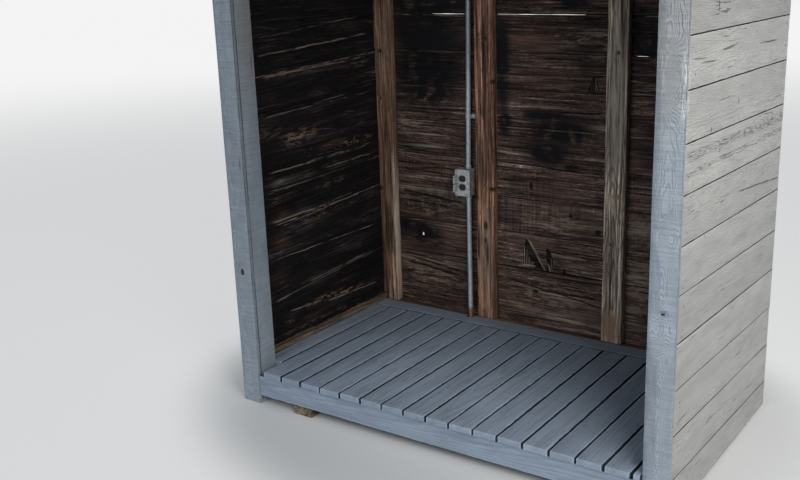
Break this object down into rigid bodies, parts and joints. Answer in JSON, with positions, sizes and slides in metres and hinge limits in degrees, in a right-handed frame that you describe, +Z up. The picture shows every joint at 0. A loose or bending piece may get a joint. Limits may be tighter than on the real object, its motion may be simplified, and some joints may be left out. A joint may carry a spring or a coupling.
{
  "type": "open-fronted wooden outhouse",
  "caption": "Open-fronted wooden hut on a framed plank floor, with horizontal board walls, bare studs inside, a sloping felt roof and a conduit with an outlet box.",
  "frame": {"origin": "on the ground, under the middle of the roof's outline", "axes": "+Z up; the open front faces -Y; +X is to the right, seen from the front"},
  "size_m": [2.025, 1.388, 2.4528],
  "materials": {
    "raw_lumber": "weathered, unpainted lumber",
    "floor_paint": "worn grey paint on boards",
    "trim_paint": "worn blue-grey paint, rough sawn",
    "siding_paint": "light grey paint, small nail holes",
    "charred_wood": "charred and stained planks",
    "tan_wood": "bare tan wood, stained",
    "brown_wood": "bare brown wood, stained",
    "grey_wood": "weathered grey wood, rusty stain",
    "roll_roofing": "granular roll roofing",
    "zinc_steel": "dull zinc, rusty foot",
    "cast_metal": "dull cast metal, dirty",
    "dark_plastic": "dark outlet face"
  },
  "bodies": {
    "root": {"skid_left": "raw_lumber", "skid_right": "raw_lumber", "front_joist": "raw_lumber", "inner_joist_front": "raw_lumber", "inner_joist_back": "raw_lumber", "back_rim_joist": "raw_lumber", "left_rim_joist": "raw_lumber", "right_rim_joist": "raw_lumber", "front_header": "raw_lumber", "left_rafter": "raw_lumber", "inner_left_rafter": "raw_lumber", "inner_right_rafter": "raw_lumber", "right_rafter": "raw_lumber", "roof_boards": "raw_lumber", "floor_boards": "floor_paint", "left_floor_border": "floor_paint", "back_floor_border": "floor_paint", "left_front_post": "trim_paint", "right_front_post": "trim_paint", "left_corner_board": "trim_paint", "right_corner_board": "trim_paint", "front_header_board": "trim_paint", "front_fascia": "trim_paint", "back_fascia": "trim_paint", "left_barge_board": "trim_paint", "right_barge_board": "trim_paint", "left_wall_boards": "siding_paint", "right_wall_boards": "siding_paint", "back_wall_boards": "charred_wood", "left_cleat": "tan_wood", "right_cleat": "tan_wood", "back_sill": "tan_wood", "left_corner_stud": "tan_wood", "brown_stud": "brown_wood", "right_corner_stud": "brown_wood", "back_plate": "brown_wood", "grey_stud": "grey_wood", "roof_covering": "roll_roofing", "conduit": "zinc_steel", "conduit_strap": "zinc_steel", "outlet_box": "cast_metal", "outlet_cover": "cast_metal", "outlet_lids": "cast_metal", "receptacle": "dark_plastic"}
  },
  "joints": []
}
